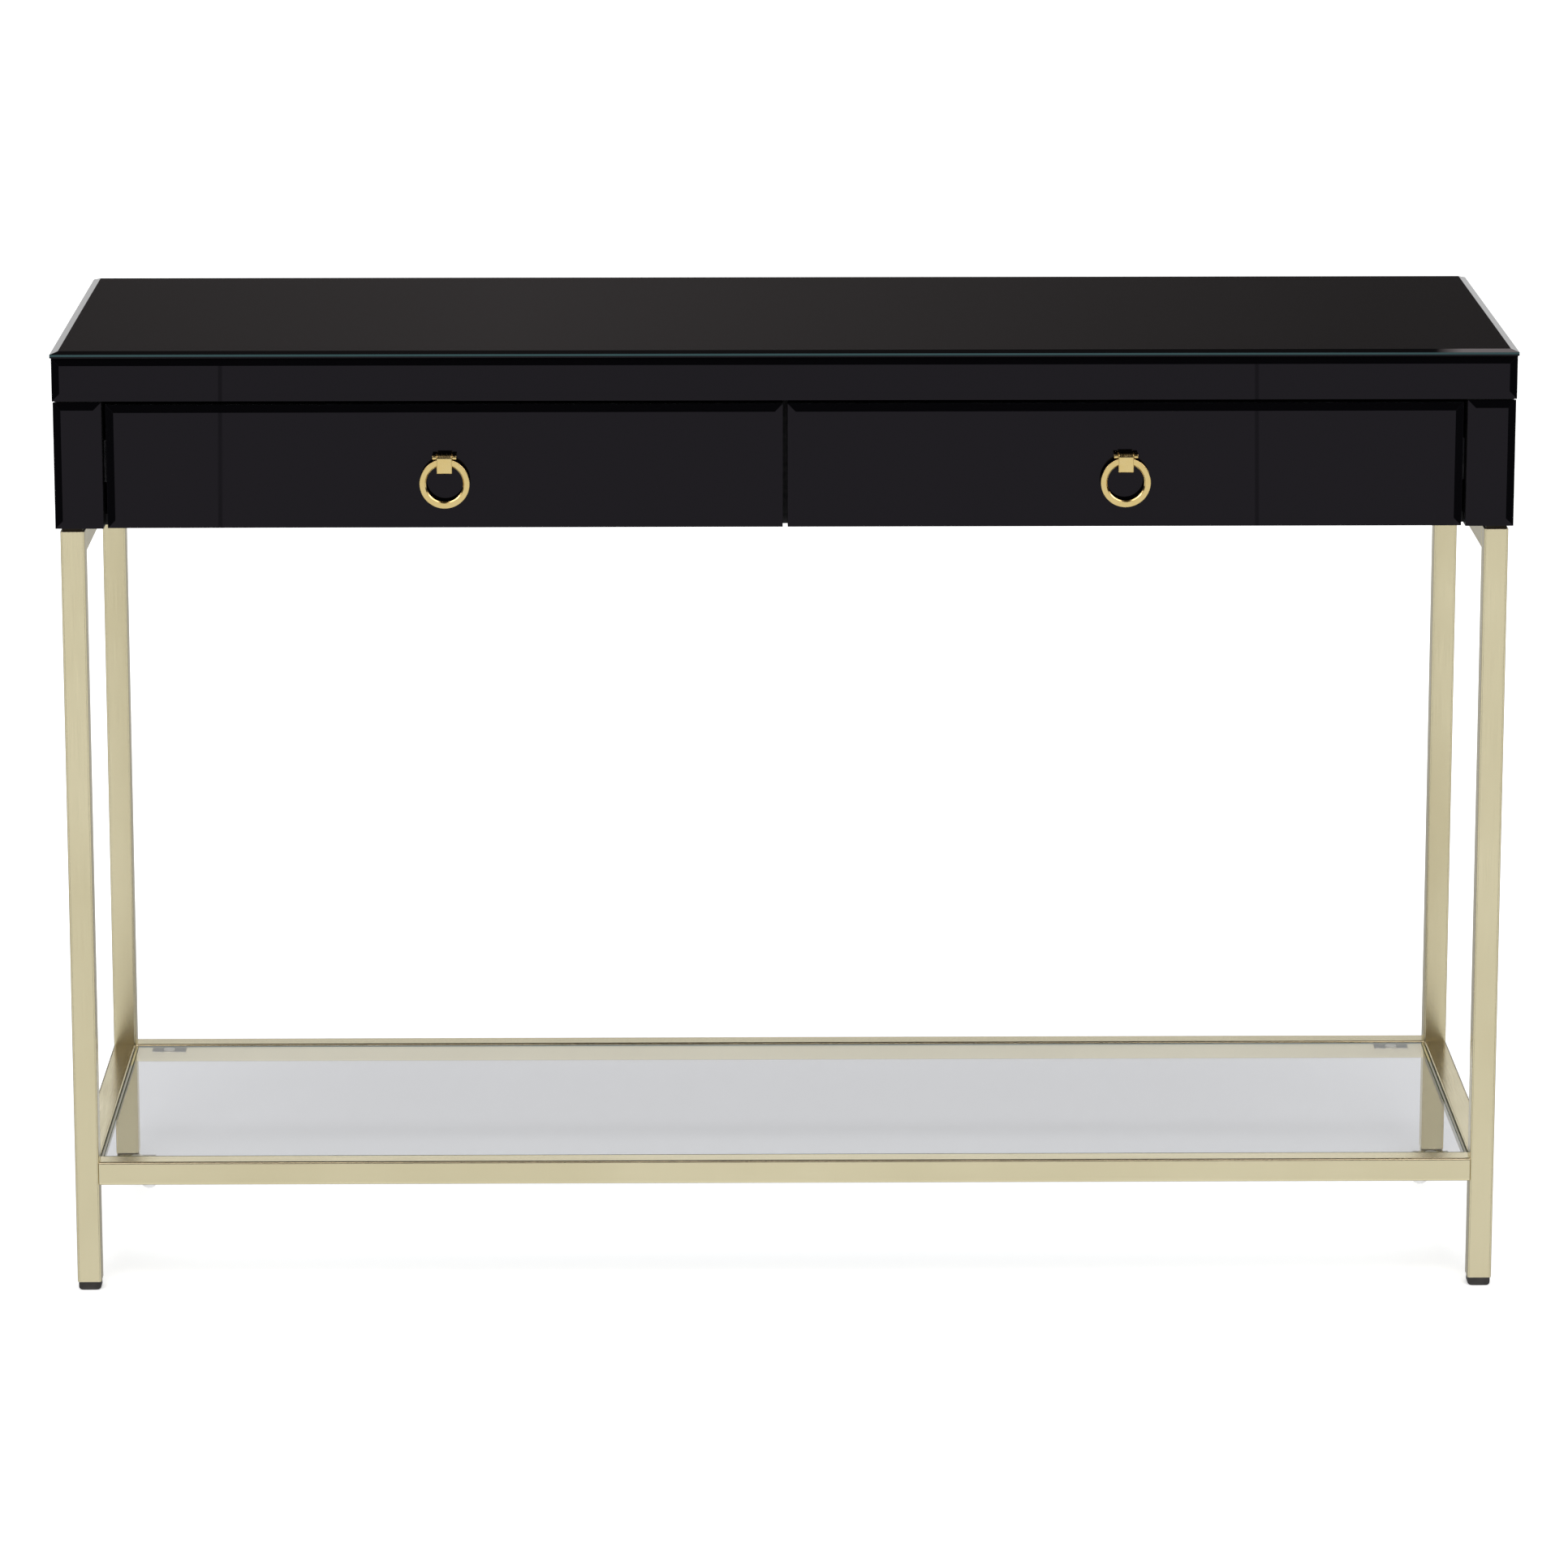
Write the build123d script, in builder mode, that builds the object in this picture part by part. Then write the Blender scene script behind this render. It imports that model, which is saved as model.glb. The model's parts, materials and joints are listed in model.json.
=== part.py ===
from build123d import *
import os

# Two-drawer console table: a case clad in bevelled black glass on a square-tube frame,
# with a clear glass shelf near the floor and a hinged ring pull on each drawer.
#
# Millimetres. +Z is up, +X is the viewer's right and -Y is the front. The origin is on
# the floor, in the middle of the whole table, its pulls included.

# ------------------------------------------------------------------ driving sizes
# Overall size, over the top glass
WIDTH = 1200.0
DEPTH = 400.0
HEIGHT = 800.0

# Glass
TOP_GLASS_T = 5.0
PANEL_GLASS_T = 3.0
SHELF_GLASS_T = 5.0
BEVEL_WIDTH = 6.5           # measured across the panel's face
PANEL_BEVEL_DROP = 1.2      # how far the bevel cuts into a panel's edge
TOP_BEVEL_DROP = 2.0
ARRIS = 0.6                 # ground edge of the shelf glass

# Top: glass on a board, with strips under the board's edges and glass round the rim
RIM_HEIGHT = 36.0
TOP_OVERHANG = 1.0
TOP_BOARD_T = 15.0
STRIP_WIDTH = 40.0

# Case under the top
CASE_HEIGHT = 106.0
CASE_SIDE_STEP = 0.5        # case glass inside the rim glass, at each side
CASE_FRONT_STEP = 1.0       # the same at the front, and the case back inside the top's back
RIM_SHADOW_GAP = 1.0        # case glass to rim glass
POST_WIDTH = 39.5
BOTTOM_T = 9.0
BACK_T = 12.0
DIVIDER_T = 15.0

# Drawer fronts
FRONT_BOARD_T = 15.0
CENTRE_GAP = 4.0
POST_GAP = 3.5
FRONT_TOP_GAP = 3.0
FRONT_BOTTOM_STEP = 0.5     # front's lower edge above the case's lower edge
FRONT_BACK_GAP = 1.0        # front's back to the bottom board and divider

# Drawer boxes
BOX_SIDE_T = 12.0
BOX_TOP_GAP = 13.0
BOX_FLOOR_GAP = 4.0
BOX_BACK_GAP = 26.0
BOX_BOTTOM_T = 5.0
GROOVE_UP = 6.0             # groove above the lower edge of the box sides
GROOVE_DEPTH = 6.0
GROOVE_PLAY = 0.2

# Three-section drawer runners
RUNNER_HEIGHT = 35.0
RUNNER_T = 12.7
RUNNER_SHEET = 1.2
RUNNER_PLAY = 0.4           # between one section and the next
RUNNER_FRONT_GAP = 2.0
RUNNER_BACK_GAP = 38.0

# Square-tube frame
TUBE = 20.0
TUBE_WALL = 1.5
TUBE_CORNER_R = 2.0
TUBE_BORE_CORNER_R = 0.5
FRAME_SIDE_INSET = 3.5      # legs inside the case glass
FRAME_END_INSET = 5.0       # legs inside the top glass, front and back
SHELF_FRAME_TOP = 112.0
SPACER_T = 3.0              # spacer plate between the frame and the case
SPACER_STEP = 1.5           # spacer narrower than the tube, at each edge
SPACER_LENGTH = 60.0
FRAME_SCREW_INSET = 42.0    # leg's outer face to the screw
FRAME_SCREW_BITE = 22.0     # screw length in the case side

# Foot glides
FOOT_HEIGHT = 7.5
FOOT_STEP = 0.6             # head narrower than the tube, at each edge
FOOT_CORNER_R = 4.0
FOOT_FLOOR_R = 2.5
FOOT_STEM = 14.0
FOOT_STEM_PLAY = 0.05

# Glass shelf supports
SHELF_DROP = 1.0            # shelf glass below the top of its frame
SHELF_PLAY = 2.0
PAD_T = 1.0
PAD_R = 5.0
TAB_T = 3.0
TAB_LENGTH = 30.0
TAB_REACH = 14.0
TAB_END_INSET = 30.0        # leg's inner face to a tab's centre

# Plugs under the front shelf rail
PLUG_R = 7.0
PLUG_DOME = 4.8
PLUG_STEM_R = 4.0
PLUG_STEM = 6.0
PLUG_END_INSET = 41.0       # leg's inner face to the plug's centre

# Ring pulls
RING_OUTER_R = 20.5
RING_WIDTH = 5.4
RING_T = 3.2
RING_INNER_BEVEL = 1.0
RING_EDGE_R = 0.4
PIN_R = 1.2
PIN_PLAY = 0.05             # pin in the clasp
PIN_SEAT_PLAY = 0.01        # pin in the bracket's arms
PIN_LENGTH = 19.6
PIN_END_R = 0.4
PIN_RING_GAP = 0.1
PULL_STANDOFF = 8.3         # drawer glass to the pin's axis
CLASP_WIDTH = 12.4
CLASP_WALL = 2.1            # clasp in front of the ring, and behind it
CLASP_LIP = 6.3             # clasp below the top of the ring's hole
CLASP_CROWN = 2.8           # clasp above the pin's axis
CLASP_CROWN_R = 3.6
CLASP_EDGE = 0.4
ARM_R = 1.9
ARM_GAP = 0.3               # clasp to each arm
BRACKET_ROOT_T = 3.6
BRACKET_BASE_R = 5.0
PIN_ABOVE_STUD = 8.85

# Screws
SCREW_R = 2.0
SCREW_PLAY = 0.1
THREAD_PLAY = 0.01
SCREW_HEAD_R = 4.0
SCREW_HEAD_H = 2.5
SCREW_SOCKET_R = 1.5
SCREW_SOCKET_DEPTH = 1.5
STUD_BITE = 3.2             # pull screw in the bracket

# ------------------------------------------------------------------ planes and places
SIDES = (("left", -1), ("right", 1))

glass_top_z = HEIGHT
board_top_z = glass_top_z - TOP_GLASS_T
board_bottom_z = board_top_z - TOP_BOARD_T
rim_bottom_z = board_top_z - RIM_HEIGHT
case_glass_top_z = rim_bottom_z - RIM_SHADOW_GAP
case_bottom_z = rim_bottom_z - CASE_HEIGHT
case_floor_z = case_bottom_z + BOTTOM_T
frame_top_z = case_bottom_z - SPACER_T
top_rail_z = frame_top_z - TUBE / 2
shelf_rail_z = SHELF_FRAME_TOP - TUBE / 2
shelf_rail_bottom_z = SHELF_FRAME_TOP - TUBE

rim_half = WIDTH / 2 - TOP_OVERHANG
board_half = rim_half - PANEL_GLASS_T
case_half = rim_half - CASE_SIDE_STEP
case_board_half = case_half - PANEL_GLASS_T
post_inner = case_half - POST_WIDTH
divider_half = DIVIDER_T / 2
leg_outer = case_half - FRAME_SIDE_INSET
leg_x = leg_outer - TUBE / 2
leg_inner = leg_outer - TUBE

clasp_half_t = RING_T / 2 + CLASP_WALL
case_front_depth = TOP_OVERHANG + CASE_FRONT_STEP
pull_proud = PULL_STANDOFF + clasp_half_t - case_front_depth

top_front_y = -(DEPTH - pull_proud) / 2
top_back_y = top_front_y + DEPTH
rim_front_y = top_front_y + TOP_OVERHANG
board_front_y = rim_front_y + PANEL_GLASS_T
board_back_y = top_back_y - TOP_OVERHANG
case_front_y = top_front_y + case_front_depth
case_board_front_y = case_front_y + PANEL_GLASS_T
case_back_y = board_back_y - CASE_FRONT_STEP
back_inner_y = case_back_y - BACK_T
front_back_y = case_board_front_y + FRONT_BOARD_T
case_inside_front_y = front_back_y + FRONT_BACK_GAP
frame_front_y = top_front_y + FRAME_END_INSET
frame_back_y = top_back_y - FRAME_END_INSET
frame_mid_y = (frame_front_y + frame_back_y) / 2
leg_pitch_y = frame_back_y - frame_front_y - TUBE
rail_inner_front_y = frame_front_y + TUBE
rail_inner_back_y = frame_back_y - TUBE
frame_screw_pitch_y = frame_back_y - frame_front_y - 2 * FRAME_SCREW_INSET

front_bottom_z = case_bottom_z + FRONT_BOTTOM_STEP
front_top_z = rim_bottom_z - FRONT_TOP_GAP
front_inner_x = CENTRE_GAP / 2
front_outer_x = post_inner - POST_GAP
box_inner_x = divider_half + RUNNER_T
box_outer_x = post_inner - RUNNER_T
box_bottom_z = case_floor_z + BOX_FLOOR_GAP
box_top_z = rim_bottom_z - BOX_TOP_GAP
box_back_y = back_inner_y - BOX_BACK_GAP
groove_z = box_bottom_z + GROOVE_UP
panel_top_z = groove_z + BOX_BOTTOM_T
runner_z = (box_bottom_z + box_top_z) / 2
runner_front_y = front_back_y + RUNNER_FRONT_GAP
runner_back_y = box_back_y - RUNNER_BACK_GAP

shelf_glass_bottom_z = SHELF_FRAME_TOP - SHELF_DROP - SHELF_GLASS_T
tab_top_z = shelf_glass_bottom_z - PAD_T
tab_x = leg_inner - TAB_END_INSET
plug_x = leg_inner - PLUG_END_INSET

ring_inner_r = RING_OUTER_R - RING_WIDTH
pull_x = (front_inner_x + front_outer_x) / 2
pin_y = case_front_y - PULL_STANDOFF
stud_z = (front_bottom_z + front_top_z) / 2
pin_z = stud_z + PIN_ABOVE_STUD
ring_z = pin_z - PIN_R - PIN_RING_GAP - RING_OUTER_R
clasp_bottom_z = ring_z + ring_inner_r - CLASP_LIP
arm_inner = CLASP_WIDTH / 2 + ARM_GAP
arm_outer = PIN_LENGTH / 2


# ------------------------------------------------------------------ shared operations
def save(builder, name):
    """Label a finished piece and write its STEP file."""
    builder.part.label = name
    export_step(builder.part, f"parts/{name}.step")


def slab(x, y, z, mode=Mode.ADD):
    """Rectangular block between two X, two Y and two Z planes, in the current part."""
    with BuildSketch(Plane.XY.offset(min(z)), mode=Mode.PRIVATE) as outline:
        with Locations(((x[0] + x[1]) / 2, (y[0] + y[1]) / 2)):
            Rectangle(abs(x[1] - x[0]), abs(y[1] - y[0]))
    extrude(outline.sketch, amount=abs(z[1] - z[0]), mode=mode)


def bevel_glass(builder, outward, drop):
    """Grind a bevel all round the glass face that looks along outward."""
    face = builder.faces().sort_by(outward)[-1]
    chamfer(face.edges(), length=BEVEL_WIDTH, length2=drop, reference=face)


def square_tube(end, length):
    """Square tube in the current part, from the end plane along its normal."""
    with BuildSketch(end, mode=Mode.PRIVATE) as section:
        bore = TUBE - 2 * TUBE_WALL
        RectangleRounded(TUBE, TUBE, TUBE_CORNER_R)
        RectangleRounded(bore, bore, TUBE_BORE_CORNER_R, mode=Mode.SUBTRACT)
    extrude(section.sketch, amount=length)


def round_hole(start, radius, depth):
    """Round hole in the current part, from the start plane along its normal."""
    with BuildSketch(start, mode=Mode.PRIVATE) as outline:
        Circle(radius)
    extrude(outline.sketch, amount=depth, mode=Mode.SUBTRACT)


def socket_screw(seat, shank):
    """Socket-head screw in the current part, its shank along the seat plane's normal."""
    with BuildSketch(seat, mode=Mode.PRIVATE) as head:
        Circle(SCREW_HEAD_R)
    extrude(head.sketch, amount=-SCREW_HEAD_H)
    with BuildSketch(seat, mode=Mode.PRIVATE) as shaft:
        Circle(SCREW_R)
    extrude(shaft.sketch, amount=shank)
    with BuildSketch(seat.offset(-SCREW_HEAD_H), mode=Mode.PRIVATE) as socket:
        RegularPolygon(SCREW_SOCKET_R, 6)
    extrude(socket.sketch, amount=SCREW_SOCKET_DEPTH, mode=Mode.SUBTRACT)


def channel(wall_x, toward, reach, half_height):
    """Runner section in the current part: a C of sheet, its web on wall_x, open toward."""
    near_x = wall_x + toward * RUNNER_SHEET
    far_x = wall_x + toward * reach
    bore = half_height - RUNNER_SHEET
    length = (runner_front_y, runner_back_y)
    slab((wall_x, far_x), length, (runner_z - half_height, runner_z + half_height))
    slab((near_x, far_x), length, (runner_z - bore, runner_z + bore), Mode.SUBTRACT)


os.makedirs("parts", exist_ok=True)

# ------------------------------------------------------------------ top
with BuildPart() as top_glass:
    slab((-WIDTH / 2, WIDTH / 2), (top_front_y, top_back_y), (board_top_z, glass_top_z))
    bevel_glass(top_glass, Axis.Z, TOP_BEVEL_DROP)
save(top_glass, "top_glass")

with BuildPart() as top_board:
    slab((-board_half, board_half), (board_front_y, board_back_y), (board_bottom_z, board_top_z))
save(top_board, "top_board")

with BuildPart() as rim_strips:
    strip_z = (rim_bottom_z, board_bottom_z)
    strip_inner = board_half - STRIP_WIDTH
    front_strip_back_y = board_front_y + STRIP_WIDTH
    back_strip_front_y = board_back_y - STRIP_WIDTH
    slab((-board_half, board_half), (board_front_y, front_strip_back_y), strip_z)
    slab((-board_half, board_half), (back_strip_front_y, board_back_y), strip_z)
save(rim_strips, "rim_strips_long")

with BuildPart() as rim_cross_strips:
    for side, sign in SIDES:
        slab((sign * strip_inner, sign * board_half), (front_strip_back_y, back_strip_front_y), strip_z)
save(rim_cross_strips, "rim_strips_short")

with BuildPart() as rim_glass_front:
    slab((-rim_half, rim_half), (rim_front_y, board_front_y), (rim_bottom_z, board_top_z))
    bevel_glass(rim_glass_front, -Axis.Y, PANEL_BEVEL_DROP)
save(rim_glass_front, "rim_glass_front")

for side, sign in SIDES:
    outward = Axis((0, 0, 0), (sign, 0, 0))
    with BuildPart() as rim_glass_side:
        slab((sign * board_half, sign * rim_half), (board_front_y, board_back_y), (rim_bottom_z, board_top_z))
        bevel_glass(rim_glass_side, outward, PANEL_BEVEL_DROP)
    save(rim_glass_side, f"rim_glass_{side}")

# ------------------------------------------------------------------ case
case_glass_z = (case_bottom_z, case_glass_top_z)
case_board_z = (case_bottom_z, rim_bottom_z)
above_floor_z = (case_floor_z, rim_bottom_z)
frame_screw_seat_z = frame_top_z - TUBE

for side, sign in SIDES:
    outward = Axis((0, 0, 0), (sign, 0, 0))
    screw_spots = [
        (sign * leg_x, frame_mid_y - frame_screw_pitch_y / 2),
        (sign * leg_x, frame_mid_y + frame_screw_pitch_y / 2),
    ]

    with BuildPart() as post_glass:
        slab((sign * post_inner, sign * case_half), (case_front_y, case_board_front_y), case_glass_z)
        bevel_glass(post_glass, -Axis.Y, PANEL_BEVEL_DROP)
    save(post_glass, f"post_glass_{side}")

    with BuildPart() as side_glass:
        slab((sign * case_board_half, sign * case_half), (case_board_front_y, case_back_y), case_glass_z)
        bevel_glass(side_glass, outward, PANEL_BEVEL_DROP)
    save(side_glass, f"side_glass_{side}")

    with BuildPart() as case_side:
        slab((sign * post_inner, sign * case_board_half), (case_board_front_y, case_back_y), case_board_z)
        for x, y in screw_spots:
            round_hole(Plane((x, y, case_bottom_z)), SCREW_R + THREAD_PLAY, FRAME_SCREW_BITE)
    save(case_side, f"case_side_{side}")

with BuildPart() as case_bottom:
    slab((-post_inner, post_inner), (case_inside_front_y, case_back_y), (case_bottom_z, case_floor_z))
save(case_bottom, "case_bottom_board")

with BuildPart() as case_back:
    slab((-post_inner, post_inner), (back_inner_y, case_back_y), above_floor_z)
save(case_back, "case_back_board")

with BuildPart() as divider:
    slab((-divider_half, divider_half), (case_inside_front_y, back_inner_y), above_floor_z)
save(divider, "centre_divider")

# ------------------------------------------------------------------ frame
for side, sign in SIDES:
    for end, leg_y in (("front", frame_front_y + TUBE / 2), ("back", frame_back_y - TUBE / 2)):
        with BuildPart() as leg:
            square_tube(Plane((sign * leg_x, leg_y, FOOT_HEIGHT)), frame_top_z - FOOT_HEIGHT)
        save(leg, f"leg_{end}_{side}")

    between_legs = rail_inner_back_y - rail_inner_front_y
    with BuildPart() as top_rail:
        square_tube(Plane((sign * leg_x, rail_inner_front_y, top_rail_z), z_dir=(0, 1, 0)), between_legs)
        for end in (-1, 1):
            screw_y = frame_mid_y + end * frame_screw_pitch_y / 2
            seat = Plane((sign * leg_x, screw_y, frame_screw_seat_z))
            round_hole(seat, SCREW_R + SCREW_PLAY, TUBE)
    save(top_rail, f"top_rail_{side}")

    with BuildPart() as shelf_rail:
        square_tube(Plane((sign * leg_x, rail_inner_front_y, shelf_rail_z), z_dir=(0, 1, 0)), between_legs)
    save(shelf_rail, f"shelf_rail_{side}")

front_rail_y = frame_front_y + TUBE / 2
back_rail_y = frame_back_y - TUBE / 2

with BuildPart() as shelf_rail_front:
    square_tube(Plane((-leg_inner, front_rail_y, shelf_rail_z), z_dir=(1, 0, 0)), 2 * leg_inner)
    for side, sign in SIDES:
        plug_seat = Plane((sign * plug_x, front_rail_y, shelf_rail_bottom_z))
        round_hole(plug_seat, PLUG_STEM_R + SCREW_PLAY, TUBE_WALL)
save(shelf_rail_front, "shelf_rail_front")

with BuildPart() as shelf_rail_back:
    square_tube(Plane((-leg_inner, back_rail_y, shelf_rail_z), z_dir=(1, 0, 0)), 2 * leg_inner)
save(shelf_rail_back, "shelf_rail_back")

with BuildPart() as spacers:
    with BuildSketch(Plane((0, frame_mid_y, frame_top_z))):
        spacer_pitch_y = frame_back_y - frame_front_y - 2 * SPACER_STEP - SPACER_LENGTH
        with GridLocations(2 * leg_x, spacer_pitch_y, 2, 2):
            Rectangle(TUBE - 2 * SPACER_STEP, SPACER_LENGTH)
        with GridLocations(2 * leg_x, frame_screw_pitch_y, 2, 2):
            Circle(SCREW_R + SCREW_PLAY, mode=Mode.SUBTRACT)
    extrude(amount=SPACER_T)
save(spacers, "leg_spacer_plates")

with BuildPart() as frame_screws:
    for side, sign in SIDES:
        for end in (-1, 1):
            screw_y = frame_mid_y + end * frame_screw_pitch_y / 2
            screw_length = TUBE + SPACER_T + FRAME_SCREW_BITE
            socket_screw(Plane((sign * leg_x, screw_y, frame_screw_seat_z)), screw_length)
save(frame_screws, "frame_screws")

with BuildPart() as glides:
    with BuildSketch(Plane((0, frame_mid_y, 0))):
        with GridLocations(2 * leg_x, leg_pitch_y, 2, 2):
            foot_size = TUBE - 2 * FOOT_STEP
            RectangleRounded(foot_size, foot_size, FOOT_CORNER_R)
    extrude(amount=FOOT_HEIGHT)
    fillet(glides.edges().group_by(Axis.Z)[0], FOOT_FLOOR_R)
    with BuildSketch(Plane((0, frame_mid_y, FOOT_HEIGHT))):
        with GridLocations(2 * leg_x, leg_pitch_y, 2, 2):
            stem_size = TUBE - 2 * TUBE_WALL - 2 * FOOT_STEM_PLAY
            RectangleRounded(stem_size, stem_size, TUBE_BORE_CORNER_R)
    extrude(amount=FOOT_STEM)
save(glides, "foot_glides")

# ------------------------------------------------------------------ glass shelf
with BuildPart() as shelf_glass:
    shelf_half = leg_inner - SHELF_PLAY
    shelf_y = (rail_inner_front_y + SHELF_PLAY, rail_inner_back_y - SHELF_PLAY)
    slab((-shelf_half, shelf_half), shelf_y, (shelf_glass_bottom_z, SHELF_FRAME_TOP - SHELF_DROP))
    chamfer(shelf_glass.edges().filter_by(Plane.XY), ARRIS)
save(shelf_glass, "shelf_glass")

tab_mid_front_y = rail_inner_front_y + TAB_REACH / 2
tab_mid_back_y = rail_inner_back_y - TAB_REACH / 2
tab_pitch_y = tab_mid_back_y - tab_mid_front_y

with BuildPart() as shelf_tabs:
    with BuildSketch(Plane((0, frame_mid_y, tab_top_z))):
        with GridLocations(2 * tab_x, tab_pitch_y, 2, 2):
            Rectangle(TAB_LENGTH, TAB_REACH)
    extrude(amount=-TAB_T)
save(shelf_tabs, "shelf_glass_tabs")

with BuildPart() as shelf_pads:
    with BuildSketch(Plane((0, frame_mid_y, tab_top_z))):
        with GridLocations(2 * tab_x, tab_pitch_y, 2, 2):
            Circle(PAD_R)
    extrude(amount=PAD_T)
save(shelf_pads, "shelf_glass_pads")

with BuildPart() as plugs:
    for side, sign in SIDES:
        seat = Plane((sign * plug_x, front_rail_y, shelf_rail_bottom_z), x_dir=(1, 0, 0), z_dir=(0, -1, 0))
        with BuildSketch(seat):
            with BuildLine():
                Polyline((0, -PLUG_DOME), (0, PLUG_STEM), (PLUG_STEM_R, PLUG_STEM), (PLUG_STEM_R, 0), (PLUG_R, 0))
                TangentArc((0, -PLUG_DOME), (PLUG_R, 0), tangent=(1, 0))
            make_face()
        revolve(axis=Axis((sign * plug_x, front_rail_y, 0), (0, 0, 1)))
save(plugs, "shelf_rail_plugs")

# ------------------------------------------------------------------ drawer runners, fixed and middle sections
outer_reach = RUNNER_T - RUNNER_SHEET - RUNNER_PLAY
middle_wall = RUNNER_SHEET + RUNNER_PLAY
inner_wall = middle_wall + RUNNER_SHEET + RUNNER_PLAY
outer_half = RUNNER_HEIGHT / 2
middle_half = outer_half - RUNNER_SHEET - RUNNER_PLAY
inner_half = middle_half - RUNNER_SHEET - RUNNER_PLAY

# Each drawer runs between the divider and a case side: the face, and the way to the drawer.
RUNNER_WALLS = ((divider_half, 1), (post_inner, -1))

with BuildPart() as outer_members:
    for side, sign in SIDES:
        for wall, toward in RUNNER_WALLS:
            channel(sign * wall, sign * toward, outer_reach, outer_half)
save(outer_members, "runner_outer_members")

for side, sign in SIDES:
    with BuildPart() as middle_members:
        for wall, toward in RUNNER_WALLS:
            web_x = sign * (wall + toward * middle_wall)
            channel(web_x, sign * toward, outer_reach - middle_wall, middle_half)
    save(middle_members, f"runner_middle_members_{side}")

# ------------------------------------------------------------------ drawers
for side, sign in SIDES:
    front_x = (sign * front_inner_x, sign * front_outer_x)
    front_z = (front_bottom_z, front_top_z)
    stud_x = sign * pull_x
    into_drawer = Plane((stud_x, case_front_y, stud_z), z_dir=(0, 1, 0))

    with BuildPart() as front_glass:
        slab(front_x, (case_front_y, case_board_front_y), front_z)
        bevel_glass(front_glass, -Axis.Y, PANEL_BEVEL_DROP)
        round_hole(into_drawer, SCREW_R + SCREW_PLAY, PANEL_GLASS_T)
    save(front_glass, f"drawer_{side}_front_glass")

    with BuildPart() as front_board:
        slab(front_x, (case_board_front_y, front_back_y), front_z)
        round_hole(into_drawer, SCREW_R + SCREW_PLAY, PANEL_GLASS_T + FRONT_BOARD_T)
    save(front_board, f"drawer_{side}_front_board")

    box_y = (front_back_y, box_back_y)
    box_z = (box_bottom_z, box_top_z)
    groove_top_z = panel_top_z + GROOVE_PLAY
    for place, outer, inward in (("inner", box_inner_x, 1), ("outer", box_outer_x, -1)):
        with BuildPart() as box_side:
            inner = outer + inward * BOX_SIDE_T
            groove_floor = inner - inward * GROOVE_DEPTH
            slab((sign * outer, sign * inner), box_y, box_z)
            slab((sign * groove_floor, sign * inner), box_y, (groove_z, groove_top_z), Mode.SUBTRACT)
        save(box_side, f"drawer_{side}_{place}_side")

    with BuildPart() as box_back:
        inside_x = (sign * (box_inner_x + BOX_SIDE_T), sign * (box_outer_x - BOX_SIDE_T))
        slab(inside_x, (box_back_y - BOX_SIDE_T, box_back_y), (panel_top_z, box_top_z))
    save(box_back, f"drawer_{side}_back")

    with BuildPart() as box_bottom:
        tongue = GROOVE_DEPTH - GROOVE_PLAY
        panel_x = (sign * (box_inner_x + BOX_SIDE_T - tongue), sign * (box_outer_x - BOX_SIDE_T + tongue))
        slab(panel_x, box_y, (groove_z, panel_top_z))
    save(box_bottom, f"drawer_{side}_bottom")

    with BuildPart() as inner_members:
        for wall, toward in RUNNER_WALLS:
            web_x = sign * (wall + toward * RUNNER_T)
            channel(web_x, -sign * toward, RUNNER_T - inner_wall, inner_half)
    save(inner_members, f"drawer_{side}_runner_members")

    # -------------------------------------------------------------- ring pull
    with BuildPart() as bracket:
        root_y = (case_front_y - BRACKET_ROOT_T, case_front_y)
        with BuildSketch(Plane((stud_x, case_front_y, stud_z), z_dir=(0, -1, 0))):
            Circle(BRACKET_BASE_R)
        extrude(amount=BRACKET_ROOT_T)
        slab((stud_x - BRACKET_BASE_R, stud_x + BRACKET_BASE_R), root_y, (stud_z, pin_z + ARM_R))
        slab((stud_x - arm_outer, stud_x + arm_outer), root_y, (pin_z - ARM_R, pin_z + ARM_R))
        for hand in (-1, 1):
            arm_x = (stud_x + hand * arm_inner, stud_x + hand * arm_outer)
            slab(arm_x, (pin_y, case_front_y), (pin_z - ARM_R, pin_z + ARM_R))
            with BuildSketch(Plane((min(arm_x), pin_y, pin_z), z_dir=(1, 0, 0))):
                Circle(ARM_R)
            extrude(amount=arm_outer - arm_inner)
        seat_hole = Plane((stud_x - arm_outer, pin_y, pin_z), z_dir=(1, 0, 0))
        round_hole(seat_hole, PIN_R + PIN_SEAT_PLAY, PIN_LENGTH)
        stud_hole = Plane((stud_x, case_front_y, stud_z), z_dir=(0, -1, 0))
        round_hole(stud_hole, SCREW_R + THREAD_PLAY, STUD_BITE)
    save(bracket, f"pull_{side}_bracket")

    with BuildPart() as pin:
        with BuildSketch(Plane((stud_x - PIN_LENGTH / 2, pin_y, pin_z), z_dir=(1, 0, 0))):
            Circle(PIN_R)
        extrude(amount=PIN_LENGTH)
        fillet(pin.edges().filter_by(GeomType.CIRCLE), PIN_END_R)
    save(pin, f"pull_{side}_pin")

    with BuildPart() as screw:
        seat = Plane((stud_x, front_back_y, stud_z), z_dir=(0, -1, 0))
        socket_screw(seat, FRONT_BOARD_T + PANEL_GLASS_T + STUD_BITE)
    save(screw, f"pull_{side}_screw")

    with BuildPart() as ring:
        with BuildSketch(Plane((stud_x, pin_y, ring_z))) as section:
            with Locations((ring_inner_r + RING_WIDTH / 2, 0)):
                Rectangle(RING_WIDTH, RING_T)
            corners = section.vertices().sort_by(Axis.X)
            inner_front = corners[:2].sort_by(Axis.Y)[0]
            chamfer(inner_front, RING_INNER_BEVEL)
            fillet(section.vertices().sort_by(Axis.X)[-2:], RING_EDGE_R)
        revolve(axis=Axis((stud_x, pin_y, ring_z), (0, 1, 0)))
    save(ring, f"pull_{side}_ring")

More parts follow.
